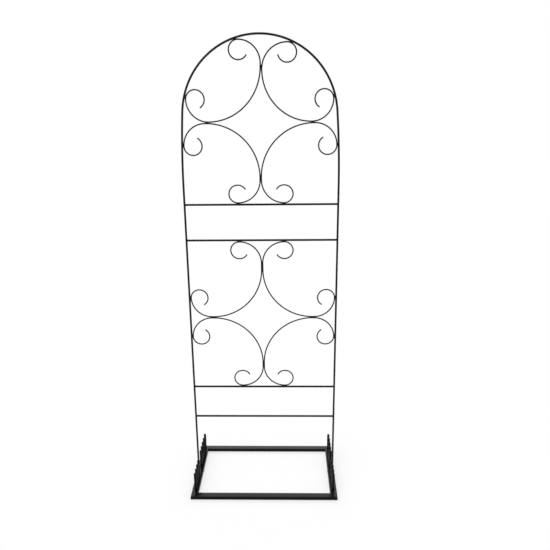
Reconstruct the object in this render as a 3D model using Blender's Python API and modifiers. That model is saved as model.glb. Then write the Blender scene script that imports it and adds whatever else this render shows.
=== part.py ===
"""Metal garden trellis.

A hoop of round rod carries two pairs of cross bars and two stars of C-scrolls. Its two legs stand
in a flat base frame of mitred box section, held by a screw each, and a row of short upright
pickets stands on either side rail. Metres, Z up, origin under the middle of the base.
"""
import math

import bmesh
import bpy
from mathutils import Matrix, Vector

# Hoop, measured between the centres of the rod. Each leg leans in a little before the arch
ROD_DIAMETER = 0.00635
LEG_SPACING = 0.495
LEG_LEAN_IN = 0.0082
LEG_LEAN_LENGTH = 0.211

# Base frame, outside sizes
LEG_FROM_OUTER_FACE = 0.0065
BASE_DEPTH = 0.310
RAIL_WIDTH = 0.024
RAIL_HEIGHT = 0.012
RAIL_WALL = 0.0012
RAIL_CORNER_RADIUS = 0.0020

# Heights between rod centres, from the floor up
LOWEST_BAR_HEIGHT = 0.236
BAR_PAIR_SPACING = 0.1175
LOWER_PANEL_HEIGHT = 0.5305
UPPER_PANEL_HEIGHT = 0.5095

# C-scrolls: large arc, straight run, rounder shoulder and tight curl, all of one wire.
# The run takes up what the room between a scroll's neighbours leaves
WIRE_DIAMETER = 0.004
STAR_RADIUS = 0.166
BAR_SHOULDER_RADIUS = 0.072
LEG_SHOULDER_RADIUS = 0.068
CURL_RADIUS = 0.0285
CURL_SWEEP = math.radians(240)
LOWER_STAR_BELOW_BAR = 0.269
UPPER_STAR_BELOW_CROWN = 0.2545

# The two scrolls under the arch are bent by hand: they touch a little right of the middle,
# and their large arcs and their shoulders against the arch differ
TOP_TWIN_LINE = 0.006
TOP_LEFT_RADIUS = 0.163
TOP_LEFT_SHOULDER_RADIUS = 0.066
TOP_RIGHT_RADIUS = 0.152
TOP_RIGHT_SHOULDER_RADIUS = 0.080

# Pickets on the side rails, in one row before the leg and one behind it. A row runs from its
# distance from the leg to its margin from the end of the base
PICKET_DIAMETER = 0.009
PICKET_LENGTH = 0.062
PICKET_CHAMFER = 0.0008
FRONT_ROW_COUNT = 4
FRONT_ROW_FROM_LEG = 0.035
FRONT_ROW_MARGIN = 0.0435
BACK_ROW_COUNT = 5
BACK_ROW_FROM_LEG = 0.027
BACK_ROW_MARGIN = 0.018

# Screws through the side rails against the feet of the legs
SCREW_DIAMETER = 0.004
SCREW_HEAD_DIAMETER = 0.008
SCREW_HEAD_HEIGHT = 0.0026
SCREW_RIM_HEIGHT = 0.0007
SCREW_TIP_CHAMFER = 0.0005

# Clearance between two separate pieces, and round a piece in its hole
FIT_GAP = 0.0003

# Facets
ARCH_STEPS = 48
LEAN_STEPS = 6
ROD_RESOLUTION = 4
WIRE_RESOLUTION = 2
ARC_STEP = math.radians(7.5)
SHOULDER_STEP = math.radians(15)
CURL_STEP = math.radians(12)
ROUND_SIDES = 24
PICKET_SIDES = 16
RAIL_CORNER_STEPS = 3
DOME_STEPS = 4
WELD_DISTANCE = 0.00001
SHARP_ANGLE = math.radians(35)
CHAMFER_LIMIT = math.radians(60)
SEAT_SEARCH_STEPS = 40

# Derived sizes
ROD_RADIUS = ROD_DIAMETER / 2
WIRE_RADIUS = WIRE_DIAMETER / 2
LEG_X = LEG_SPACING / 2
BASE_WIDTH = LEG_SPACING + 2 * LEG_FROM_OUTER_FACE
RAIL_CENTRE_X = (BASE_WIDTH - RAIL_WIDTH) / 2
LOWER_BARS = (LOWEST_BAR_HEIGHT, LOWEST_BAR_HEIGHT + BAR_PAIR_SPACING)
UPPER_BARS = (LOWER_BARS[1] + LOWER_PANEL_HEIGHT, LOWER_BARS[1] + LOWER_PANEL_HEIGHT + BAR_PAIR_SPACING)
CROWN_HEIGHT = UPPER_BARS[1] + UPPER_PANEL_HEIGHT
ARCH_RADIUS = LEG_X - LEG_LEAN_IN
ARCH_CENTRE_HEIGHT = CROWN_HEIGHT - ARCH_RADIUS
SPRING_HEIGHT = ARCH_CENTRE_HEIGHT - LEG_LEAN_LENGTH
LEAN_RADIUS = (LEG_LEAN_LENGTH ** 2 / LEG_LEAN_IN + ARCH_RADIUS + LEG_X) / 2
LEAN_ANGLE = math.asin(LEG_LEAN_LENGTH / (LEAN_RADIUS - ARCH_RADIUS))
LOWER_STAR_HEIGHT = UPPER_BARS[0] - LOWER_STAR_BELOW_BAR
UPPER_STAR_HEIGHT = CROWN_HEIGHT - UPPER_STAR_BELOW_CROWN
FOOT_HEIGHT = RAIL_WALL + FIT_GAP
SCROLL_INSET = WIRE_RADIUS + FIT_GAP / 2
SCROLL_TO_ROD = WIRE_RADIUS + ROD_RADIUS + FIT_GAP


def clear_scene():
    """Start from nothing."""
    for item in list(bpy.data.objects):
        bpy.data.objects.remove(item, do_unlink=True)


def new_collection(name):
    """A collection under the scene's own."""
    group = bpy.data.collections.new(name)
    bpy.context.scene.collection.children.link(group)
    return group


def paint(name, colour, roughness, metallic=0.0):
    """A Principled material in one colour."""
    material = bpy.data.materials.new(name)
    material.use_nodes = True
    shader = material.node_tree.nodes["Principled BSDF"]
    shader.inputs["Base Color"].default_value = (*colour, 1.0)
    shader.inputs["Roughness"].default_value = roughness
    shader.inputs["Metallic"].default_value = metallic
    return material


def add_object(name, data, group, parent=None, material=None):
    """Link a named object into its collection, under its parent."""
    item = bpy.data.objects.new(name, data)
    group.objects.link(item)
    item.parent = parent
    if material is not None:
        item.data.materials.append(material)
    return item


def smooth(mesh):
    """Shade a mesh smooth, with its hard edges kept."""
    mesh.shade_smooth()
    mesh.set_sharp_from_angle(angle=SHARP_ANGLE)


def arc(centre, radius, start, sweep, step):
    """Points (a, b) along a circular arc, both ends included."""
    count = max(2, round(abs(sweep) / step))
    angles = [start + sweep * index / count for index in range(count + 1)]
    return [(centre[0] + radius * math.cos(t), centre[1] + radius * math.sin(t)) for t in angles]


def bent_rod(name, points, diameter, resolution, group, parent, material):
    """A round rod or wire along points (x, z) in the plane of the hoop."""
    data = bpy.data.curves.new(name, "CURVE")
    data.dimensions = "3D"
    data.bevel_depth = diameter / 2
    data.bevel_resolution = resolution
    data.use_fill_caps = True
    spline = data.splines.new("POLY")
    spline.points.add(len(points) - 1)
    for point, (x, z) in zip(spline.points, points):
        point.co = (x, 0.0, z, 1.0)
    return add_object(name, data, group, parent, material)


# Hoop and cross bars

def hoop_points():
    """The rod's centre line, up the left leg, over the arch and down the right leg.

    It is a three-centred arch: a crown of one radius, and between it and each straight leg
    a long flat arc that touches both.
    """
    lean_centre = (LEG_X - LEAN_RADIUS, SPRING_HEIGHT)
    lean = arc(lean_centre, LEAN_RADIUS, 0.0, LEAN_ANGLE, LEAN_ANGLE / LEAN_STEPS)
    crown_sweep = math.radians(90) - LEAN_ANGLE
    crown_step = math.radians(180) / ARCH_STEPS
    crown = arc((0.0, ARCH_CENTRE_HEIGHT), ARCH_RADIUS, LEAN_ANGLE, crown_sweep, crown_step)
    right = [(LEG_X, FOOT_HEIGHT)] + lean + crown[1:]
    left = [(-x, z) for x, z in right]
    return left + right[-2::-1]


def make_cross_bars(group, parent, material):
    """Straight rods that butt against the inner sides of the legs."""
    half_length = LEG_X - ROD_RADIUS - FIT_GAP
    heights = {
        "lower_pair_bottom_bar": LOWER_BARS[0],
        "lower_pair_top_bar": LOWER_BARS[1],
        "upper_pair_bottom_bar": UPPER_BARS[0],
        "upper_pair_top_bar": UPPER_BARS[1],
    }
    for name, height in heights.items():
        ends = [(-half_length, height), (half_length, height)]
        bent_rod(name, ends, ROD_DIAMETER, ROD_RESOLUTION, group, parent, material)


# C-scrolls

def arm_points(main, run, shoulder):
    """Half a C-scroll, from the middle of its large arc to the free end of one curl.

    a is measured along the line that the large arc touches, b away from that line.
    """
    bend = main + run
    points = arc((main, main), main, math.radians(225), math.radians(45), ARC_STEP)
    if run < WELD_DISTANCE:
        points.pop()
    points += arc((bend, shoulder), shoulder, math.radians(270), math.radians(90), SHOULDER_STEP)
    centre = (bend + shoulder - CURL_RADIUS, shoulder)
    points += arc(centre, CURL_RADIUS, 0.0, CURL_SWEEP, CURL_STEP)[1:]
    return points


def distance_to_line(point, line):
    """Least distance from a point to a line of points, all (x, z)."""
    spot = Vector(point)
    best = math.inf
    for first, second in zip(line, line[1:]):
        start = Vector(first)
        along = Vector(second) - start
        share = max(0.0, min(1.0, (spot - start).dot(along) / along.length_squared))
        best = min(best, (spot - start - along * share).length)
    return best


def inside_hoop(x, z):
    """Whether a point lies between the legs, or within the circle of the crown."""
    above = z - ARCH_CENTRE_HEIGHT
    return abs(x) < LEG_X and (above < 0 or math.hypot(x, above) < ARCH_RADIUS)


def arm_fit(reach, main, shoulder):
    """Run and shoulder of an arm whose curl reaches this far along its line."""
    limited = min(shoulder, reach - main)
    return reach - main - limited, limited


def hoop_reach(main, shoulder, place, upright):
    """Reach that brings a curl against the hoop, by halving the search range.

    place is the scroll's upright line, its star's height, and its side and rise (+1 or -1).
    """
    line, height, side, rise = place
    hoop = hoop_points()
    low, high = main + CURL_RADIUS, main + LEG_SPACING
    for _ in range(SEAT_SEARCH_STEPS):
        reach = (low + high) / 2
        a = SCROLL_INSET + reach - CURL_RADIUS
        b = SCROLL_INSET + arm_fit(reach, main, shoulder)[1]
        out, up = (b, a) if upright else (a, b)
        x, z = line + side * out, height + rise * up
        room = distance_to_line((x, z), hoop) - CURL_RADIUS - SCROLL_TO_ROD
        fits = inside_hoop(x, z) and room > 0
        low, high = (reach, high) if fits else (low, reach)
    return low


def scroll_points(main, side_shoulder, upright_shoulder, upright_reach, place):
    """A whole C-scroll. Its side curl meets the hoop; without a reach its upright one does too."""
    line, height, side, rise = place
    side_reach = hoop_reach(main, side_shoulder, place, False)
    if upright_reach is None:
        upright_reach = hoop_reach(main, upright_shoulder, place, True)
    side_arm = arm_points(main, *arm_fit(side_reach, main, side_shoulder))
    upright_arm = arm_points(main, *arm_fit(upright_reach, main, upright_shoulder))
    points = [(b, a) for a, b in upright_arm[:0:-1]] + side_arm
    return [(line + side * (SCROLL_INSET + u), height + rise * (SCROLL_INSET + v)) for u, v in points]


def make_scrolls(group, parent, material):
    """Two stars of four C-scrolls. Each touches its twins, the hoop and a bar or the arch."""
    hands = {"left": -1, "right": 1}
    shoulders = (LEG_SHOULDER_RADIUS, BAR_SHOULDER_RADIUS)
    halves = {
        "upper_star_bottom": (UPPER_STAR_HEIGHT, -1, UPPER_PANEL_HEIGHT - UPPER_STAR_BELOW_CROWN),
        "lower_star_top": (LOWER_STAR_HEIGHT, 1, LOWER_STAR_BELOW_BAR),
        "lower_star_bottom": (LOWER_STAR_HEIGHT, -1, LOWER_PANEL_HEIGHT - LOWER_STAR_BELOW_BAR),
    }
    scrolls = {}
    for half, (height, rise, to_bar) in halves.items():
        reach = to_bar - SCROLL_TO_ROD - SCROLL_INSET
        for hand, side in hands.items():
            place = (0.0, height, side, rise)
            scrolls[f"{half}_{hand}_scroll"] = scroll_points(STAR_RADIUS, *shoulders, reach, place)
    top = {
        "left": (TOP_LEFT_RADIUS, LEG_SHOULDER_RADIUS, TOP_LEFT_SHOULDER_RADIUS),
        "right": (TOP_RIGHT_RADIUS, LEG_SHOULDER_RADIUS, TOP_RIGHT_SHOULDER_RADIUS),
    }
    for hand, shape in top.items():
        place = (TOP_TWIN_LINE, UPPER_STAR_HEIGHT, hands[hand], 1)
        scrolls[f"upper_star_top_{hand}_scroll"] = scroll_points(*shape, None, place)
    for name, points in scrolls.items():
        bent_rod(name, points, WIRE_DIAMETER, WIRE_RESOLUTION, group, parent, material)


# Base frame

def rounded_rectangle(width, height, radius):
    """Points of a rectangle with round corners, about its own middle."""
    points = []
    for turn, (sx, sy) in enumerate(((1, 1), (-1, 1), (-1, -1), (1, -1))):
        centre = (sx * (width / 2 - radius), sy * (height / 2 - radius))
        step = math.radians(90) / RAIL_CORNER_STEPS
        points += arc(centre, radius, turn * math.radians(90), math.radians(90), step)
    return points


def mesh_from_curve(name, data):
    """A closed mesh of a curve, with its caps welded on."""
    curve = bpy.data.objects.new(name + "_outline", data)
    bpy.context.scene.collection.objects.link(curve)
    evaluated = curve.evaluated_get(bpy.context.evaluated_depsgraph_get())
    mesh = bpy.data.meshes.new_from_object(evaluated)
    mesh.name = name
    form = bmesh.new()
    form.from_mesh(mesh)
    bmesh.ops.remove_doubles(form, verts=form.verts, dist=WELD_DISTANCE)
    form.to_mesh(mesh)
    form.free()
    bpy.data.objects.remove(curve, do_unlink=True)
    return mesh


def rail_mesh(name, length):
    """A box section with mitred ends: x runs in from its outer face, y up and z along it."""
    data = bpy.data.curves.new(name, "CURVE")
    data.dimensions = "2D"
    data.fill_mode = "BOTH"
    data.extrude = length / 2
    outer = rounded_rectangle(RAIL_WIDTH, RAIL_HEIGHT, RAIL_CORNER_RADIUS)
    hollow = (RAIL_WIDTH - 2 * RAIL_WALL, RAIL_HEIGHT - 2 * RAIL_WALL)
    inner = rounded_rectangle(*hollow, max(RAIL_CORNER_RADIUS - RAIL_WALL, WELD_DISTANCE * 10))
    for outline in (outer, inner):
        spline = data.splines.new("POLY")
        spline.points.add(len(outline) - 1)
        spline.use_cyclic_u = True
        for point, (x, y) in zip(spline.points, outline):
            point.co = (x, y, 0.0, 1.0)
    mesh = mesh_from_curve(name, data)
    end = length / 2 - FIT_GAP / math.sqrt(2)
    for vertex in mesh.vertices:
        from_outer_face = vertex.co.x + RAIL_WIDTH / 2
        vertex.co.z = math.copysign(end - from_outer_face, vertex.co.z)
    return mesh


def make_cutter(name, diameter, length, group):
    """A cylinder along Z that cuts a round hole."""
    form = bmesh.new()
    bmesh.ops.create_cone(
        form, cap_ends=True, segments=ROUND_SIDES,
        radius1=diameter / 2, radius2=diameter / 2, depth=length,
    )
    mesh = bpy.data.meshes.new(name)
    form.to_mesh(mesh)
    form.free()
    cutter = add_object(name, mesh, group)
    cutter.hide_render = True
    cutter.display_type = "WIRE"
    return cutter


def cut(item, cutter):
    """Take the cutter's shape out of a piece."""
    modifier = item.modifiers.new(cutter.name, "BOOLEAN")
    modifier.operation = "DIFFERENCE"
    modifier.solver = "EXACT"
    modifier.object = cutter


def make_base(group, cutters, parent, material):
    """Four mitred rails. Each side rail has a hole for its leg and one for the screw."""
    stand = Matrix(((0, 0, 1), (1, 0, 0), (0, 1, 0))).to_4x4()
    sides = {
        "base_front_rail": (0, BASE_WIDTH, BASE_DEPTH),
        "base_right_rail": (90, BASE_DEPTH, BASE_WIDTH),
        "base_back_rail": (180, BASE_WIDTH, BASE_DEPTH),
        "base_left_rail": (270, BASE_DEPTH, BASE_WIDTH),
    }
    for name, (turn, length, across) in sides.items():
        rail = add_object(name, rail_mesh(name, length), group, parent, material)
        shift = Matrix.Translation((0.0, -(across - RAIL_WIDTH) / 2, RAIL_HEIGHT / 2))
        rail.matrix_local = Matrix.Rotation(math.radians(turn), 4, "Z") @ shift @ stand
        rail.data.shade_flat()
    for hand, side in (("left", -1), ("right", 1)):
        rail = group.objects[f"base_{hand}_rail"]
        leg_hole = make_cutter(f"{hand}_leg_hole", ROD_DIAMETER + 2 * FIT_GAP, RAIL_HEIGHT, cutters)
        leg_hole.location = (side * LEG_X, 0.0, RAIL_HEIGHT)
        cut(rail, leg_hole)
        screw_hole = make_cutter(f"{hand}_screw_hole", SCREW_DIAMETER + 2 * FIT_GAP, RAIL_WIDTH / 2, cutters)
        screw_hole.rotation_euler = (0.0, math.radians(90), 0.0)
        screw_hole.location = (side * (BASE_WIDTH / 2 - RAIL_WIDTH), 0.0, RAIL_HEIGHT / 2)
        cut(rail, screw_hole)


# Pickets and screws

def picket_row(count, from_leg, margin):
    """Distances from the leg at which the pickets of a row stand."""
    pitch = (BASE_DEPTH / 2 - margin - from_leg) / (count - 1)
    return [from_leg + pitch * index for index in range(count)]


def make_pickets(group, parent, material):
    """Short upright bars along both side rails, before and behind the leg."""
    form = bmesh.new()
    bmesh.ops.create_cone(
        form, cap_ends=True, segments=PICKET_SIDES,
        radius1=PICKET_DIAMETER / 2, radius2=PICKET_DIAMETER / 2, depth=PICKET_LENGTH,
    )
    mesh = bpy.data.meshes.new("picket")
    form.to_mesh(mesh)
    form.free()
    smooth(mesh)
    mesh.materials.append(material)
    middle_height = RAIL_HEIGHT + FIT_GAP + PICKET_LENGTH / 2
    front_row = [-y for y in picket_row(FRONT_ROW_COUNT, FRONT_ROW_FROM_LEG, FRONT_ROW_MARGIN)]
    back_row = picket_row(BACK_ROW_COUNT, BACK_ROW_FROM_LEG, BACK_ROW_MARGIN)
    for hand, side in (("left", -1), ("right", 1)):
        for number, y in enumerate(sorted(front_row + back_row), start=1):
            picket = add_object(f"{hand}_picket_{number:02d}", mesh, group, parent)
            picket.location = (side * RAIL_CENTRE_X, y, middle_height)
            chamfer = picket.modifiers.new("chamfer", "BEVEL")
            chamfer.width = PICKET_CHAMFER
            chamfer.segments = 1
            chamfer.limit_method = "ANGLE"
            chamfer.angle_limit = CHAMFER_LIMIT


def screw_profile():
    """Half outline of a screw (r, z), from the crown of its dome down to its tip."""
    head = SCREW_HEAD_DIAMETER / 2
    shank = SCREW_DIAMETER / 2
    length = LEG_X - ROD_RADIUS - 2 * FIT_GAP - (BASE_WIDTH / 2 - RAIL_WIDTH)
    points = []
    for index in range(DOME_STEPS + 1):
        t = math.radians(90) * (1 - index / DOME_STEPS)
        rise = (SCREW_HEAD_HEIGHT - SCREW_RIM_HEIGHT) * math.sin(t)
        points.append((head * math.cos(t), SCREW_RIM_HEIGHT + rise))
    points += [(head, 0.0), (shank, 0.0), (shank, SCREW_TIP_CHAMFER - length)]
    points += [(shank - SCREW_TIP_CHAMFER, -length), (0.0, -length)]
    return points


def make_screws(group, parent, material):
    """Domed screws, heads on the inner faces of the side rails, tips against the legs."""
    outline = screw_profile()
    for hand, side in (("left", -1), ("right", 1)):
        mesh = bpy.data.meshes.new(f"{hand}_foot_screw")
        edges = [(index, index + 1) for index in range(len(outline) - 1)]
        mesh.from_pydata([(r, 0.0, z) for r, z in outline], edges, [])
        screw = add_object(f"{hand}_foot_screw", mesh, group, parent, material)
        turn = screw.modifiers.new("turn", "SCREW")
        turn.axis = "Z"
        turn.steps = ROUND_SIDES
        turn.render_steps = ROUND_SIDES
        turn.use_merge_vertices = True
        turn.merge_threshold = WELD_DISTANCE
        turn.use_smooth_shade = True
        head_face = BASE_WIDTH / 2 - RAIL_WIDTH - FIT_GAP
        screw.location = (side * head_face, 0.0, RAIL_HEIGHT / 2)
        screw.rotation_euler = (0.0, -side * math.radians(90), 0.0)


def main():
    clear_scene()
    parts = new_collection("metal_trellis")
    cutters = new_collection("cutters")
    hoop_paint = paint("hoop_black_paint", (0.018, 0.018, 0.020), 0.42)
    bar_paint = paint("bar_black_paint", (0.018, 0.018, 0.020), 0.42)
    scroll_paint = paint("scroll_black_paint", (0.020, 0.020, 0.022), 0.45)
    rail_paint = paint("rail_black_paint", (0.020, 0.020, 0.022), 0.38)
    picket_paint = paint("picket_black_paint", (0.018, 0.018, 0.020), 0.42)
    screw_zinc = paint("screw_zinc_plate", (0.55, 0.55, 0.56), 0.32, 1.0)

    base = add_object("base_assembly", None, parts)
    panel = add_object("panel_assembly", None, parts, base)
    make_base(parts, cutters, base, rail_paint)
    make_pickets(parts, base, picket_paint)
    make_screws(parts, base, screw_zinc)
    bent_rod("hoop", hoop_points(), ROD_DIAMETER, ROD_RESOLUTION, parts, panel, hoop_paint)
    make_cross_bars(parts, panel, bar_paint)
    make_scrolls(parts, panel, scroll_paint)


main()
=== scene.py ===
"""Looks of a metal garden trellis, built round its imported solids.

Every rod, wire, rail, picket and screw gets a finer mesh in the place of its solid, the welds that
join them are added, and all but the screws wear a satin black powder coat. Metres, Z up; the front
faces -Y.
"""
import math
import random

import bmesh
import bpy
from mathutils import Matrix, Vector


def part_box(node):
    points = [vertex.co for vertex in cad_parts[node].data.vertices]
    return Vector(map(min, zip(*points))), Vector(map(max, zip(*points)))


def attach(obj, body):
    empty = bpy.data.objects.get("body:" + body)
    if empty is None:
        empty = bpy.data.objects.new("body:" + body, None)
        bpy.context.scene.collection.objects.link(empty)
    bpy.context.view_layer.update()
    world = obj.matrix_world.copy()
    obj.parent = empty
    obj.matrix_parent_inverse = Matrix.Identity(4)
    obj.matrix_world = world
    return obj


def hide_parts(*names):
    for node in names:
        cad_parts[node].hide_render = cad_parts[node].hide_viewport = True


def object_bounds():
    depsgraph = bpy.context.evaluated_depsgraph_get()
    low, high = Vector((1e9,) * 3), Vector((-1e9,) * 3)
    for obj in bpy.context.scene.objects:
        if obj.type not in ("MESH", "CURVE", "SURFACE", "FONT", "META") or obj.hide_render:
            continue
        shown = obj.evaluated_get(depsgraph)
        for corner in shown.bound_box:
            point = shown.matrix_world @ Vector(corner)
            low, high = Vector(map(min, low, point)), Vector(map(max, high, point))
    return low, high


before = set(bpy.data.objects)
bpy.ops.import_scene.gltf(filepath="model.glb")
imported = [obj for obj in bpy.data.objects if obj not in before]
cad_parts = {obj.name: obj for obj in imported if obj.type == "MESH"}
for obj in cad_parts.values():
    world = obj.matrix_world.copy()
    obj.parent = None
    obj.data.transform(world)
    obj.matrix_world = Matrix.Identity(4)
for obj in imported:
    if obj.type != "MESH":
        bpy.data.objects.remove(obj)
cad_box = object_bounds()

BODY = "root"
QUARTER_TURN = math.radians(90)
SHARP_ANGLE = math.radians(40)

# Round stock. The coat adds to the radius of the bare steel
ROD_RADIUS = 0.003175
WIRE_RADIUS = 0.002
PICKET_RADIUS = 0.0045
COAT = 0.0002
CUT_EDGE = 0.0004
ROD_SIDES = 28
WIRE_SIDES = 20
PICKET_SIDES = 32

# Hoop: straight legs, a long flat arc on either side and a crown of one radius
LEG_LEAN_IN = 0.0082
LEG_LEAN_LENGTH = 0.211
LEAN_STEPS = 24
CROWN_STEP = math.radians(1.25)

# Cross bars end inside the legs, at this distance from a leg's middle
BAR_END_FROM_LEG = 0.5 * ROD_RADIUS

# C-scrolls: radius of the large arc, and of the shoulders to the side and upright curls
USUAL_SCROLL = (0.166, 0.068, 0.072)
ODD_SCROLLS = {
    "upper_star_top_left_scroll": (0.163, 0.068, 0.066),
    "upper_star_top_right_scroll": (0.152, 0.068, 0.080),
}
CURL_RADIUS = 0.0285
CURL_SWEEP = math.radians(240)
ARC_STEP = math.radians(2.5)
SHOULDER_STEP = math.radians(5)
CURL_STEP = math.radians(6)

# One upright curl is bent further round than the rest
LONG_UPRIGHT_CURLS = {"upper_star_top_right_scroll": math.radians(257)}

# A straight run shorter than this is left out
SHORTEST_RUN = 0.0003

# Base rails, and the holes in them for legs and screws
RAIL_WIDTH = 0.024
RAIL_HEIGHT = 0.012
RAIL_WALL = 0.0012
RAIL_CORNER_RADIUS = 0.0020
RAIL_CORNER_STEPS = 8
MITRE_GAP = 0.0001
HOLE_GAP = 0.0003
HOLE_SIDES = 40
DRILL_DEPTH = 4 * RAIL_WALL

# Pickets. The crown is given by steps in from the side and down from the top
PICKET_LEAN = math.radians(0.35)
PICKET_CROWN = (
    (0.002585, 0.00008), (0.001316, 0.00025), (0.0005, 0.0005), (0.0002, 0.0009), (0.0, 0.0015),
)

# Foot screws, and the tapered cross in their heads: length and width of a slot, top and floor
SCREW_RADIUS = 0.002
SCREW_HEAD_RADIUS = 0.004
SCREW_HEAD_HEIGHT = 0.0026
SCREW_RIM_HEIGHT = 0.0007
SCREW_RIM_EDGE = 0.0002
SCREW_TIP_CHAMFER = 0.0005
SCREW_SIDES = 48
DOME_STEPS = 12
RECESS_TURNS = (math.radians(35), math.radians(125))
RECESS_DEPTH = 0.0015
RECESS_OVERRUN = 0.0003
RECESS_TOP = (0.0046, 0.0009)
RECESS_FLOOR = (0.00207, 0.00077625)

# Weld beads. A bead's ripple and its thin ends are shares of its radius
BEAD_SIDES = 14
BEAD_PITCH = 0.0011
BEAD_RIPPLE = 0.1
BEAD_SWELL = (0.92, 1.08)
BEAD_END = 0.15
CONTACT_BEAD_RADIUS = 0.00135
CONTACT_BEAD_LENGTH = 0.011
CONTACT_BEAD_SPREAD = (0.85, 1.1)
BAR_BEAD_RADIUS = 0.0010
BAR_BEAD_STEPS = 28
PICKET_BEAD_RADIUS = 0.0009
CORNER_BEAD_RADIUS = 0.0011
CORNER_BEAD_SINK = 0.0007

# Distances of the contact beads from the hoop's plane, where a wire meets a rod or another wire
ROD_BEAD_LIFT = 0.75 * WIRE_RADIUS
WIRE_BEAD_LIFT = 0.55 * WIRE_RADIUS

# Least distance from a leg's middle at which the bead round a bar's end lies
SADDLE_DEPTH = 0.6 * ROD_RADIUS

# Powder coats: colour, roughness, specular level and fineness of the orange peel
COATS = {
    "rod": ((0.0046, 0.0046, 0.0049), 0.22, 0.16, 1500),
    "wire": ((0.0046, 0.0046, 0.0049), 0.22, 0.16, 1700),
    "rail": ((0.0030, 0.0030, 0.0033), 0.15, 0.10, 1300),
    "picket": ((0.0034, 0.0034, 0.0037), 0.20, 0.10, 1500),
    "weld": ((0.0042, 0.0042, 0.0045), 0.30, 0.12, 1100),
}

# How far patches of a coat are smoother or rougher than it, and how much dust lightens it
SMOOTHER = 0.03
ROUGHER = 0.07
DUST_GAIN = 1.9
DUST_LIFT = 0.002

ZINC_TONES = ((0.50, 0.51, 0.53), (0.66, 0.66, 0.64))

# Stage: what the world gives to surfaces, and the floor's own tone and its glow to the camera
DAYLIGHT = 0.70
FLOOR_TONE = 0.40
FLOOR_GLOW = 0.61
FLOOR_ROUGHNESS = 0.9
FLOOR_HEIGHT = -0.0004
FLOOR_REACH = 12

# Lights: azimuth, elevation and apparent size in degrees, and strength
LIGHTS = {
    "back_light": (180, 38, 40, 0.82),
    "front_light": (-40, 45, 60, 0.6),
}

# Camera, as fitted to the photograph: metres and radians, but for the sensor's millimetres
IMAGE_PIXELS = 550
FOCAL_PIXELS = 560.5
CAMERA_PLACE = (0.0813, -1.7933, 1.2910)
CAMERA_PITCH = 0.2853
CAMERA_YAW = -0.0217
CAMERA_ROLL = 0.0096
SENSOR_WIDTH = 36.0

ragged = random.Random(7)


# Lines and meshes

def arc(centre, radius, start, sweep, step):
    """Points (a, b) along a circular arc, both ends included."""
    count = max(2, round(abs(sweep) / step))
    angles = [start + sweep * index / count for index in range(count + 1)]
    return [(centre[0] + radius * math.cos(t), centre[1] + radius * math.sin(t)) for t in angles]


def full_turn(steps):
    """Equal steps round a full turn, as angles from 0."""
    return [2 * math.pi * step / steps for step in range(steps)]


def sweep_tube(form, points, radii, plane_normal, sides, closed=False):
    """Add a round tube along a line of points that lies about in one plane."""
    normal = Vector(plane_normal)
    count = len(points)
    rings = []
    for index, point in enumerate(points):
        before = points[index - 1] if index or closed else point
        after = points[(index + 1) % count] if index < count - 1 or closed else point
        along = (after - before).normalized()
        across = along.cross(normal).normalized()
        lift = across.cross(along)
        ring = []
        for turn in full_turn(sides):
            offset = across * math.cos(turn) + lift * math.sin(turn)
            ring.append(form.verts.new(point + offset * radii[index]))
        rings.append(ring)
    pairs = list(zip(rings, rings[1:]))
    if closed:
        pairs.append((rings[-1], rings[0]))
    else:
        form.faces.new(rings[0])
        form.faces.new(rings[-1][::-1])
    for near, far in pairs:
        for side in range(sides):
            other = (side + 1) % sides
            form.faces.new((near[side], near[other], far[other], far[side]))


def lathe(form, outline, sides, matrix):
    """Add a turned closed shape from its half outline (r, z), top first."""
    rings = []
    for r, z in outline:
        turns = full_turn(sides) if r else [0.0]
        places = [matrix @ Vector((r * math.cos(t), r * math.sin(t), z)) for t in turns]
        rings.append([form.verts.new(place) for place in places])
    for near, far in zip(rings, rings[1:]):
        for index in range(sides):
            other = (index + 1) % sides
            corners = [near[index % len(near)], near[other % len(near)]]
            corners += [far[other % len(far)], far[index % len(far)]]
            form.faces.new(list(dict.fromkeys(corners)))


def finish_piece(name, form, material, node=None):
    """Turn a bmesh into a named piece that rides on the trellis and stands for its node, if any."""
    bmesh.ops.recalc_face_normals(form, faces=form.faces)
    mesh = bpy.data.meshes.new(name)
    form.to_mesh(mesh)
    form.free()
    mesh.shade_smooth()
    mesh.set_sharp_from_angle(angle=SHARP_ANGLE)
    mesh.materials.append(material)
    piece = bpy.data.objects.new(name, mesh)
    bpy.context.scene.collection.objects.link(piece)
    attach(piece, BODY)
    if node:
        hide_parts(node)
    return piece


def subtract(piece, name, form):
    """Take the closed shape of a bmesh out of a piece."""
    mesh = bpy.data.meshes.new(name)
    form.to_mesh(mesh)
    form.free()
    cutter = bpy.data.objects.new(name, mesh)
    bpy.context.scene.collection.objects.link(cutter)
    cut = piece.modifiers.new(name, "BOOLEAN")
    cut.operation = "DIFFERENCE"
    cut.solver = "EXACT"
    cut.object = cutter
    depsgraph = bpy.context.evaluated_depsgraph_get()
    cut_mesh = bpy.data.meshes.new_from_object(piece.evaluated_get(depsgraph))
    piece.modifiers.remove(cut)
    bpy.data.objects.remove(cutter)
    piece.data = cut_mesh


def round_bar(name, line, stock, node):
    """A coated rod or wire along points (x, z) in the hoop's plane, with chamfered cut ends."""
    radius, sides, material, slot = stock
    radius += COAT
    points = [Vector((x, 0.0, z)) for x, z in line]
    start = (points[1] - points[0]).normalized() * CUT_EDGE
    end = (points[-2] - points[-1]).normalized() * CUT_EDGE
    points = [points[0], points[0] + start] + points[1:-1] + [points[-1] + end, points[-1]]
    radii = [radius] * len(points)
    radii[0] = radii[-1] = radius - CUT_EDGE
    form = bmesh.new()
    sweep_tube(form, points, radii, (0, 1, 0), sides)
    finish_piece(name, form, material, node)


# Hoop and bars

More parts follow.
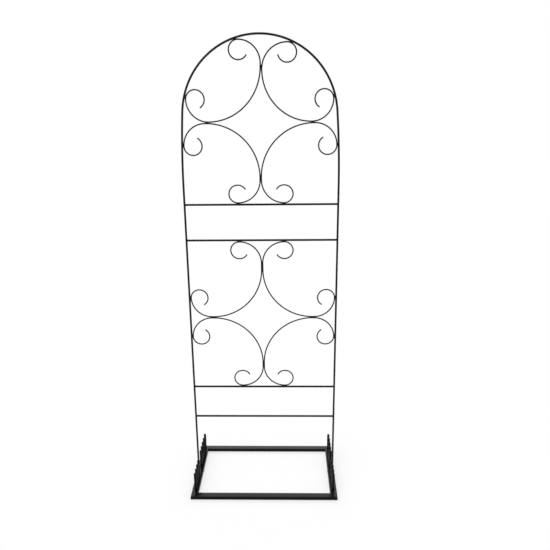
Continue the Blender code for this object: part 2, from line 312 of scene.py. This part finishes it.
def hoop_line():
    """Centre line of the hoop and the x of its right leg, read off its solid's box."""
    low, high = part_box("hoop")
    leg = high.x - ROD_RADIUS
    crown_radius = leg - LEG_LEAN_IN
    centre = high.z - ROD_RADIUS - crown_radius
    lean_radius = (LEG_LEAN_LENGTH ** 2 / LEG_LEAN_IN + crown_radius + leg) / 2
    lean_angle = math.asin(LEG_LEAN_LENGTH / (lean_radius - crown_radius))
    lean_centre = (leg - lean_radius, centre - LEG_LEAN_LENGTH)
    lean = arc(lean_centre, lean_radius, 0.0, lean_angle, lean_angle / LEAN_STEPS)
    crown = arc((0.0, centre), crown_radius, lean_angle, QUARTER_TURN - lean_angle, CROWN_STEP)
    right = [(leg, low.z)] + lean + crown[1:]
    return [(-x, z) for x, z in right] + right[-2::-1], leg


def make_bars(leg, rod):
    """The four cross bars. Gives back their heights."""
    heights = []
    half = leg - BAR_END_FROM_LEG
    for level in ("lower_pair_bottom", "lower_pair_top", "upper_pair_bottom", "upper_pair_top"):
        node = f"{level}_bar"
        low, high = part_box(node)
        height = (low.z + high.z) / 2
        heights.append(height)
        round_bar(f"{node}_rod", [(-half, height), (half, height)], rod, node)
    return heights


# Scrolls

def scroll_arm(main, run, shoulder, sweep):
    """Half a scroll: half of the large arc, straight run, shoulder and curl."""
    bend = main + run
    points = arc((main, main), main, math.radians(225), QUARTER_TURN / 2, ARC_STEP)
    if run < SHORTEST_RUN:
        points.pop()
    points += arc((bend, shoulder), shoulder, math.radians(270), QUARTER_TURN, SHOULDER_STEP)
    centre = (bend + shoulder - CURL_RADIUS, shoulder)
    points += arc(centre, CURL_RADIUS, 0.0, sweep, CURL_STEP)[1:]
    return points


class Scroll:
    """Centre line of one scroll and the places where it is welded, read off its solid's box."""

    def __init__(self, node):
        low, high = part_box(node)
        main, side_shoulder, upright_shoulder = ODD_SCROLLS.get(node, USUAL_SCROLL)
        self.side = -1 if "left" in node else 1
        self.rise = -1 if "bottom" in node else 1
        inner_x, outer_x = (low.x, high.x) if self.side > 0 else (high.x, low.x)
        inner_z, outer_z = (low.z, high.z) if self.rise > 0 else (high.z, low.z)
        self.corner = (inner_x + self.side * WIRE_RADIUS, inner_z + self.rise * WIRE_RADIUS)
        side_reach = abs(outer_x - inner_x) - 2 * WIRE_RADIUS
        upright_reach = abs(outer_z - inner_z) - 2 * WIRE_RADIUS
        side_shoulder = min(side_shoulder, side_reach - main)
        upright_shoulder = min(upright_shoulder, upright_reach - main)
        side_run = side_reach - main - side_shoulder
        upright_run = upright_reach - main - upright_shoulder
        upright_sweep = LONG_UPRIGHT_CURLS.get(node, CURL_SWEEP)
        side_arm = scroll_arm(main, side_run, side_shoulder, CURL_SWEEP)
        upright_arm = scroll_arm(main, upright_run, upright_shoulder, upright_sweep)
        line = [(b, a) for a, b in upright_arm[:0:-1]] + side_arm
        self.line = [self.place(a, b) for a, b in line]
        self.side_touch = self.place(main + side_run / 2, 0.0)
        self.upright_touch = self.place(0.0, main + upright_run / 2)
        self.side_curl = self.place(side_reach - CURL_RADIUS, side_shoulder)
        self.upright_curl = self.place(upright_shoulder, upright_reach - CURL_RADIUS)

    def place(self, out, up):
        """A point (x, z) from its distances to the side and upright from the scroll's corner."""
        return self.corner[0] + self.side * out, self.corner[1] + self.rise * up


def make_scrolls(wire):
    """The eight scrolls. Gives back their lines and weld places by node."""
    scrolls = {node: Scroll(node) for node in sorted(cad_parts) if node.endswith("_scroll")}
    for node, scroll in scrolls.items():
        round_bar(f"{node}_wire", scroll.line, wire, node)
    return scrolls


# Welds

def bead(form, points, radius, plane_normal, closed=False):
    """A rippled weld bead along points. An open one thins out towards its ends."""
    phase = ragged.uniform(0, math.pi)
    swell = ragged.uniform(*BEAD_SWELL)
    length = 0.0
    radii = []
    for index, point in enumerate(points):
        if index:
            length += (point - points[index - 1]).length
        wave = abs(math.sin(math.pi * length / (2 * BEAD_PITCH) + phase))
        ripple = 1 - BEAD_RIPPLE + BEAD_RIPPLE * wave
        taper = 1.0
        if not closed:
            place = 2 * index / (len(points) - 1) - 1
            taper = max(BEAD_END, math.sqrt(1 - place * place))
        radii.append(radius * ripple * swell * taper)
    sweep_tube(form, points, radii, plane_normal, BEAD_SIDES, closed)


def contact_bead(form, touch, along, lift):
    """Weld in the groove between two round members that touch, on the front and on the back."""
    direction = Vector((along[0], 0.0, along[1])).normalized()
    centre = Vector((touch[0], 0.0, touch[1]))
    for face in (-1, 1):
        length = CONTACT_BEAD_LENGTH * ragged.uniform(*CONTACT_BEAD_SPREAD)
        count = round(length / BEAD_PITCH * 2)
        middle = centre + Vector((0.0, face * lift, 0.0))
        shares = [index / count - 0.5 for index in range(count + 1)]
        points = [middle + direction * length * share for share in shares]
        bead(form, points, CONTACT_BEAD_RADIUS, (0, 1, 0))


def nearest(point, line):
    """Nearest point of a line of points to a point, all (x, z)."""
    spot = Vector(point)
    best = None
    for first, second in zip(line, line[1:]):
        start = Vector(first)
        along = Vector(second) - start
        share = max(0.0, min(1.0, (spot - start).dot(along) / along.length_squared))
        found = start + along * share
        if best is None or (found - spot).length < (best - spot).length:
            best = found
    return best


def hoop_bead(form, curl_centre, hoop):
    """Weld where a curl touches the hoop."""
    centre = Vector(curl_centre)
    out = (nearest(curl_centre, hoop) - centre).normalized()
    touch = centre + out * (CURL_RADIUS + WIRE_RADIUS)
    contact_bead(form, touch, (-out.y, out.x), ROD_BEAD_LIFT)


def twin_bead(form, first, second, along):
    """Weld where two scrolls touch, halfway between the middles of their straight runs."""
    touch = [(a + b) / 2 for a, b in zip(first, second)]
    contact_bead(form, touch, along, WIRE_BEAD_LIFT)


def weld_scrolls(scrolls, hoop, bars, material):
    """Welds of the eight scrolls to each other, the hoop and the bars, one piece to a star.

    An upright curl that reaches a bar is welded to it, and one that doesn't to the hoop.
    """
    curl_reach = CURL_RADIUS + WIRE_RADIUS
    for star in ("upper_star", "lower_star"):
        form = bmesh.new()
        four = {node: scroll for node, scroll in scrolls.items() if node.startswith(star)}
        for scroll in four.values():
            hoop_bead(form, scroll.side_curl, hoop)
            x, z = scroll.upright_curl
            bar = min(bars, key=lambda height: abs(height - z))
            if abs(bar - z) < curl_reach + 2 * ROD_RADIUS:
                touch = (x, z + math.copysign(curl_reach, bar - z))
                contact_bead(form, touch, (1.0, 0.0), ROD_BEAD_LIFT)
            else:
                hoop_bead(form, scroll.upright_curl, hoop)
        for half in ("top", "bottom"):
            left, right = (four[f"{star}_{half}_{hand}_scroll"] for hand in ("left", "right"))
            twin_bead(form, left.upright_touch, right.upright_touch, (0.0, 1.0))
        for hand in ("left", "right"):
            top, bottom = (four[f"{star}_{half}_{hand}_scroll"] for half in ("top", "bottom"))
            twin_bead(form, top.side_touch, bottom.side_touch, (1.0, 0.0))
        finish_piece(f"{star}_welds", form, material)


def weld_bars(leg, bars, material):
    """A saddle-shaped bead round each end of each bar, where it meets the round leg."""
    form = bmesh.new()
    for height in bars:
        for side in (-1, 1):
            points = []
            for turn in full_turn(BAR_BEAD_STEPS):
                y, z = ROD_RADIUS * math.sin(turn), ROD_RADIUS * math.cos(turn)
                depth = math.sqrt(max(ROD_RADIUS ** 2 - y ** 2, SADDLE_DEPTH ** 2))
                points.append(Vector((side * (leg - depth), y, height + z)))
            bead(form, points, BAR_BEAD_RADIUS, (1, 0, 0), closed=True)
    finish_piece("cross_bar_welds", form, material)


# Base frame

def rounded_rectangle(width, height, radius):
    """Points of a rectangle with round corners, about its own middle."""
    points = []
    step = QUARTER_TURN / RAIL_CORNER_STEPS
    for turn, (sx, sy) in enumerate(((1, 1), (-1, 1), (-1, -1), (1, -1))):
        centre = (sx * (width / 2 - radius), sy * (height / 2 - radius))
        points += arc(centre, radius, turn * QUARTER_TURN, QUARTER_TURN, step)
    return points


def mitred_rail(form, length):
    """Add a hollow box rail along X. Its outer face is at y = 0 and its underside at z = 0."""
    outer = rounded_rectangle(RAIL_WIDTH, RAIL_HEIGHT, RAIL_CORNER_RADIUS)
    hollow = (RAIL_WIDTH - 2 * RAIL_WALL, RAIL_HEIGHT - 2 * RAIL_WALL)
    inner = rounded_rectangle(*hollow, RAIL_CORNER_RADIUS - RAIL_WALL)
    rings = []
    for outline in (outer, inner):
        for end in (-1, 1):
            ring = []
            for y, z in outline:
                inset = y + RAIL_WIDTH / 2
                x = end * (length / 2 - MITRE_GAP - inset)
                ring.append(form.verts.new((x, inset, z + RAIL_HEIGHT / 2)))
            rings.append(ring)
    outer_left, outer_right, inner_left, inner_right = rings
    walls = ((outer_left, outer_right), (inner_left, inner_right))
    ends = ((outer_left, inner_left), (outer_right, inner_right))
    for near, far in walls + ends:
        for index in range(len(near)):
            other = (index + 1) % len(near)
            form.faces.new((near[index], near[other], far[other], far[index]))


def drill(piece, place, radius, axis):
    """Cut a round hole through the wall of a rail."""
    form = bmesh.new()
    bmesh.ops.create_cone(
        form, cap_ends=True, segments=HOLE_SIDES, radius1=radius, radius2=radius, depth=DRILL_DEPTH,
    )
    turn = Vector((0, 0, 1)).rotation_difference(Vector(axis)).to_matrix().to_4x4()
    bmesh.ops.transform(form, matrix=Matrix.Translation(place) @ turn, verts=form.verts)
    subtract(piece, "drill", form)


def make_base(leg, material, weld_material):
    """Four mitred rails with the leg and screw holes of the side rails, and their corner welds."""
    low, high = cad_box
    width, depth = high.x - low.x, high.y - low.y
    sides = {
        "front": (0, width, depth),
        "right": (90, depth, width),
        "back": (180, width, depth),
        "left": (270, depth, width),
    }
    for name, (turn, length, across) in sides.items():
        form = bmesh.new()
        mitred_rail(form, length)
        shift = Matrix.Translation((0, -across / 2, 0))
        stand = Matrix.Rotation(math.radians(turn), 4, "Z") @ shift
        bmesh.ops.transform(form, matrix=stand, verts=form.verts)
        node = f"base_{name}_rail"
        piece = finish_piece(f"{node}_tube", form, material, node)
        if name in ("left", "right"):
            side = -1 if name == "left" else 1
            inner_face = side * (width / 2 - RAIL_WIDTH)
            drill(piece, (side * leg, 0, RAIL_HEIGHT), ROD_RADIUS + HOLE_GAP, (0, 0, 1))
            drill(piece, (inner_face, 0, RAIL_HEIGHT / 2), SCREW_RADIUS + HOLE_GAP, (1, 0, 0))
    weld_corners(width, depth, weld_material)


def weld_corners(width, depth, material):
    """Low beads along the mitres: up the outer corner, across the top and down the inner corner."""
    form = bmesh.new()
    profile = rounded_rectangle(RAIL_WIDTH, RAIL_HEIGHT, RAIL_CORNER_RADIUS)
    lowest = CORNER_BEAD_RADIUS - RAIL_HEIGHT / 2
    span = [point for point in profile if point[1] > lowest]
    outer_foot = max(range(len(span)), key=lambda index: (span[index][0] > 0, -span[index][1]))
    span = span[outer_foot:] + span[:outer_foot]
    across_share = 1 - CORNER_BEAD_SINK / RAIL_WIDTH * 2
    up_share = 1 - CORNER_BEAD_SINK / RAIL_HEIGHT * 2
    for sx in (-1, 1):
        for sy in (-1, 1):
            corners = []
            for across, up in span:
                inset = RAIL_WIDTH / 2 - across * across_share
                x, y = sx * (width / 2 - inset), sy * (depth / 2 - inset)
                corners.append(Vector((x, y, RAIL_HEIGHT / 2 + up * up_share)))
            points = []
            for near, far in zip(corners, corners[1:]):
                count = max(1, round((far - near).length / (BEAD_PITCH / 2)))
                points += [near.lerp(far, index / count) for index in range(count)]
            points.append(corners[-1])
            bead(form, points, CORNER_BEAD_RADIUS, (sx, -sy, 0))
    finish_piece("base_corner_welds", form, material)


# Pickets and screws

def make_pickets(material, weld_material):
    """Short bars with sheared, slightly crowned tops, each on a ring of weld."""
    radius = PICKET_RADIUS + COAT
    for hand in ("left", "right"):
        welds = bmesh.new()
        nodes = sorted(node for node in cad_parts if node.startswith(f"{hand}_picket_"))
        for number, node in enumerate(nodes, start=1):
            low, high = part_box(node)
            middle = (low + high) / 2
            height = high.z - low.z
            lean = Matrix.Rotation(ragged.uniform(-1, 1) * PICKET_LEAN, 4, "X")
            lean = lean @ Matrix.Rotation(ragged.uniform(-1, 1) * PICKET_LEAN, 4, "Y")
            foot = Matrix.Translation((middle.x, middle.y, low.z)) @ lean
            outline = [(radius - inward, height - down) for inward, down in PICKET_CROWN]
            outline = [(0, height)] + outline + [(radius, 0.0), (0, 0.0)]
            form = bmesh.new()
            lathe(form, outline, PICKET_SIDES, foot)
            finish_piece(f"{hand}_picket_bar_{number:02d}", form, material, node)
            ring = []
            for turn in full_turn(PICKET_SIDES):
                x, y = middle.x + radius * math.cos(turn), middle.y + radius * math.sin(turn)
                ring.append(Vector((x, y, low.z)))
            bead(welds, ring, PICKET_BEAD_RADIUS, (0, 0, 1), closed=True)
        finish_piece(f"{hand}_picket_welds", welds, weld_material)


def screw_outline(tip):
    """Half outline of a screw (r, z) from the crown of its dome down, its tip this far below."""
    dome = SCREW_HEAD_HEIGHT - SCREW_RIM_HEIGHT
    outline = [(0, SCREW_HEAD_HEIGHT)]
    for index in range(1, DOME_STEPS + 1):
        t = QUARTER_TURN * (1 - index / DOME_STEPS)
        outline.append((SCREW_HEAD_RADIUS * math.cos(t), SCREW_RIM_HEIGHT + dome * math.sin(t)))
    outline += [(SCREW_HEAD_RADIUS, SCREW_RIM_EDGE), (SCREW_HEAD_RADIUS - SCREW_RIM_EDGE, 0.0)]
    outline += [(SCREW_RADIUS, 0.0), (SCREW_RADIUS, SCREW_TIP_CHAMFER - tip)]
    outline += [(SCREW_RADIUS - SCREW_TIP_CHAMFER, -tip), (0, -tip)]
    return outline


def make_screws(material):
    """Domed screws with a cross recess, their heads on the inner faces of the side rails."""
    for hand, side in (("left", -1), ("right", 1)):
        node = f"{hand}_foot_screw"
        low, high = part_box(node)
        crown_x = low.x if side > 0 else high.x
        seat_x = crown_x + side * SCREW_HEAD_HEIGHT
        tip = high.x - low.x - SCREW_HEAD_HEIGHT
        turn = Matrix.Rotation(-side * QUARTER_TURN, 4, "Y")
        place = Matrix.Translation((seat_x, 0.0, RAIL_HEIGHT / 2)) @ turn
        form = bmesh.new()
        lathe(form, screw_outline(tip), SCREW_SIDES, place)
        piece = finish_piece(f"{hand}_foot_screw_head", form, material, node)
        cut_recess(piece, place)


def cut_recess(piece, place):
    """Cut a tapered cross into the crown of a screw head."""
    for turn in RECESS_TURNS:
        form = bmesh.new()
        bmesh.ops.create_cube(form, size=1.0)
        for vertex in form.verts:
            on_top = vertex.co.z > 0
            length, width = RECESS_TOP if on_top else RECESS_FLOOR
            vertex.co.x *= length
            vertex.co.y *= width
            vertex.co.z = SCREW_HEAD_HEIGHT + (RECESS_OVERRUN if on_top else -RECESS_DEPTH)
        matrix = place @ Matrix.Rotation(turn, 4, "Z")
        bmesh.ops.transform(form, matrix=matrix, verts=form.verts)
        subtract(piece, "recess", form)


# Materials

def shader_nodes(name):
    """A new node material, its node tree, its Principled shader and its object coordinates."""
    material = bpy.data.materials.new(name)
    material.use_nodes = True
    tree = material.node_tree
    where = tree.nodes.new("ShaderNodeTexCoord").outputs["Object"]
    return material, tree, tree.nodes["Principled BSDF"], where


def noise(tree, where, scale, detail, roughness=0.5):
    """Noise over object coordinates."""
    node = tree.nodes.new("ShaderNodeTexNoise")
    node.inputs["Scale"].default_value = scale
    node.inputs["Detail"].default_value = detail
    node.inputs["Roughness"].default_value = roughness
    tree.links.new(where, node.inputs["Vector"])
    return node.outputs["Fac"]


def spread(tree, value, low, high, start=0.3, stop=0.7):
    """Map noise from its usual range, or from start to stop, to another range."""
    node = tree.nodes.new("ShaderNodeMapRange")
    node.inputs["From Min"].default_value = start
    node.inputs["From Max"].default_value = stop
    node.inputs["To Min"].default_value = low
    node.inputs["To Max"].default_value = high
    tree.links.new(value, node.inputs["Value"])
    return node.outputs["Result"]


def blend_colours(tree, share, first, second):
    """Mix two colours by a share."""
    node = tree.nodes.new("ShaderNodeMix")
    node.data_type = "RGBA"
    node.inputs["A"].default_value = (*first, 1.0)
    node.inputs["B"].default_value = (*second, 1.0)
    tree.links.new(share, node.inputs["Factor"])
    return node.outputs["Result"]


def bump(tree, height, strength, distance, below=None):
    """Bump from a height, over another bump where one is given."""
    node = tree.nodes.new("ShaderNodeBump")
    node.inputs["Strength"].default_value = strength
    node.inputs["Distance"].default_value = distance
    tree.links.new(height, node.inputs["Height"])
    if below is not None:
        tree.links.new(below, node.inputs["Normal"])
    return node.outputs["Normal"]


def powder_coat(name, colour, roughness, shine, grain):
    """Satin black powder coat: fine orange peel, uneven gloss and a trace of dust."""
    material, tree, shader, where = shader_nodes(name)
    dust = tuple(channel * DUST_GAIN + DUST_LIFT for channel in colour)
    drifts = noise(tree, where, scale=34, detail=4, roughness=0.6)
    share = spread(tree, drifts, low=0.0, high=0.6, start=0.45, stop=0.8)
    tree.links.new(blend_colours(tree, share, colour, dust), shader.inputs["Base Color"])
    patches = noise(tree, where, scale=90, detail=3, roughness=0.6)
    uneven = spread(tree, patches, low=roughness - SMOOTHER, high=roughness + ROUGHER)
    tree.links.new(uneven, shader.inputs["Roughness"])
    grains = noise(tree, where, scale=grain, detail=2)
    peel = bump(tree, grains, strength=0.10, distance=0.00025)
    swells = noise(tree, where, scale=grain / 6, detail=1, roughness=0.4)
    waves = bump(tree, swells, strength=0.12, distance=0.0008, below=peel)
    tree.links.new(waves, shader.inputs["Normal"])
    shader.inputs["Specular IOR Level"].default_value = shine
    return material


def zinc_plate(name):
    """Bright zinc plate with fine marks and slightly clouded patches."""
    material, tree, shader, where = shader_nodes(name)
    clouds = spread(tree, noise(tree, where, scale=420, detail=4, roughness=0.6), low=0.0, high=1.0)
    tree.links.new(blend_colours(tree, clouds, *ZINC_TONES), shader.inputs["Base Color"])
    uneven = spread(tree, noise(tree, where, scale=900, detail=3), low=0.22, high=0.42)
    tree.links.new(uneven, shader.inputs["Roughness"])
    marks = noise(tree, where, scale=2600, detail=3, roughness=0.6)
    tree.links.new(bump(tree, marks, strength=0.2, distance=0.0001), shader.inputs["Normal"])
    shader.inputs["Metallic"].default_value = 1.0
    return material


# Stage

def seen_rays(tree):
    """A value that is 1 for the rays that see the background: camera, glossy and transmission."""
    path = tree.nodes.new("ShaderNodeLightPath")
    total = path.outputs["Is Camera Ray"]
    for name in ("Is Glossy Ray", "Is Transmission Ray"):
        node = tree.nodes.new("ShaderNodeMath")
        node.operation = "MAXIMUM"
        tree.links.new(total, node.inputs[0])
        tree.links.new(path.outputs[name], node.inputs[1])
        total = node.outputs["Value"]
    return total


def make_world():
    """White to the rays that see it, and a plain light on everything else."""
    world = bpy.data.worlds.new("studio")
    bpy.context.scene.world = world
    world.use_nodes = True
    tree = world.node_tree
    background = tree.nodes["Background"]
    background.inputs["Color"].default_value = (1.0, 1.0, 1.0, 1.0)
    strength = tree.nodes.new("ShaderNodeMapRange")
    strength.inputs["To Min"].default_value = DAYLIGHT
    strength.inputs["To Max"].default_value = 1.0
    tree.links.new(seen_rays(tree), strength.inputs["Value"])
    tree.links.new(strength.outputs["Result"], background.inputs["Strength"])


def make_floor():
    """A plain pale floor that keeps the shadow and meets the white background."""
    material = bpy.data.materials.new("pale_floor")
    material.use_nodes = True
    tree = material.node_tree
    shader = tree.nodes["Principled BSDF"]
    shader.inputs["Base Color"].default_value = (FLOOR_TONE, FLOOR_TONE, FLOOR_TONE, 1.0)
    shader.inputs["Roughness"].default_value = FLOOR_ROUGHNESS
    shader.inputs["Specular IOR Level"].default_value = 0.0
    shader.inputs["Emission Color"].default_value = (1.0, 1.0, 1.0, 1.0)
    glow = tree.nodes.new("ShaderNodeMath")
    glow.operation = "MULTIPLY"
    glow.inputs[1].default_value = FLOOR_GLOW
    tree.links.new(seen_rays(tree), glow.inputs[0])
    tree.links.new(glow.outputs["Value"], shader.inputs["Emission Strength"])
    mesh = bpy.data.meshes.new("floor")
    signs = ((-1, -1), (1, -1), (1, 1), (-1, 1))
    corners = [(sx * FLOOR_REACH, sy * FLOOR_REACH, FLOOR_HEIGHT) for sx, sy in signs]
    mesh.from_pydata(corners, [], [(0, 1, 2, 3)])
    mesh.materials.append(material)
    floor = bpy.data.objects.new("floor", mesh)
    bpy.context.scene.collection.objects.link(floor)


def soft_light(name, azimuth, elevation, apparent_size, strength):
    """A broad distant light from an azimuth, 0 in front and 90 to the right, and an elevation."""
    data = bpy.data.lights.new(name, "SUN")
    data.angle = math.radians(apparent_size)
    data.energy = strength
    lamp = bpy.data.objects.new(name, data)
    turn, rise = math.radians(azimuth), math.radians(elevation)
    level = math.cos(rise)
    back = Vector((math.sin(turn) * level, -math.cos(turn) * level, math.sin(rise)))
    lamp.rotation_euler = (-back).to_track_quat("-Z", "Y").to_euler()
    bpy.context.scene.collection.objects.link(lamp)


def photo_camera():
    """The camera of the photograph."""
    turn = Vector((math.sin(CAMERA_YAW), math.cos(CAMERA_YAW), 0.0))
    ahead = turn * math.cos(CAMERA_PITCH) - Vector((0.0, 0.0, math.sin(CAMERA_PITCH)))
    level = Vector((math.cos(CAMERA_YAW), -math.sin(CAMERA_YAW), 0.0))
    down = ahead.cross(level)
    right = level * math.cos(CAMERA_ROLL) + down * math.sin(CAMERA_ROLL)
    below = down * math.cos(CAMERA_ROLL) - level * math.sin(CAMERA_ROLL)
    data = bpy.data.cameras.new("photo_camera")
    data.sensor_width = SENSOR_WIDTH
    data.lens = FOCAL_PIXELS / IMAGE_PIXELS * SENSOR_WIDTH
    camera = bpy.data.objects.new("photo_camera", data)
    bpy.context.scene.collection.objects.link(camera)
    axes = Matrix((right, -below, -ahead)).transposed().to_4x4()
    camera.matrix_world = Matrix.Translation(CAMERA_PLACE) @ axes
    bpy.context.scene.camera = camera


# Trellis

coats = {name: powder_coat(f"{name}_black_powder_coat", *look) for name, look in COATS.items()}
zinc = zinc_plate("screw_zinc_plate")
rod_stock = (ROD_RADIUS, ROD_SIDES, coats["rod"], "rod")
wire_stock = (WIRE_RADIUS, WIRE_SIDES, coats["wire"], "wire")

hoop, leg_x = hoop_line()
round_bar("hoop_rod", hoop, rod_stock, "hoop")
bar_heights = make_bars(leg_x, rod_stock)
weld_bars(leg_x, bar_heights, coats["weld"])
weld_scrolls(make_scrolls(wire_stock), hoop, bar_heights, coats["weld"])
make_base(leg_x, coats["rail"], coats["weld"])
make_pickets(coats["picket"], coats["weld"])
make_screws(zinc)

make_floor()
make_world()
for light_name, light in LIGHTS.items():
    soft_light(light_name, *light)
photo_camera()
bpy.context.scene.view_settings.view_transform = "Standard"
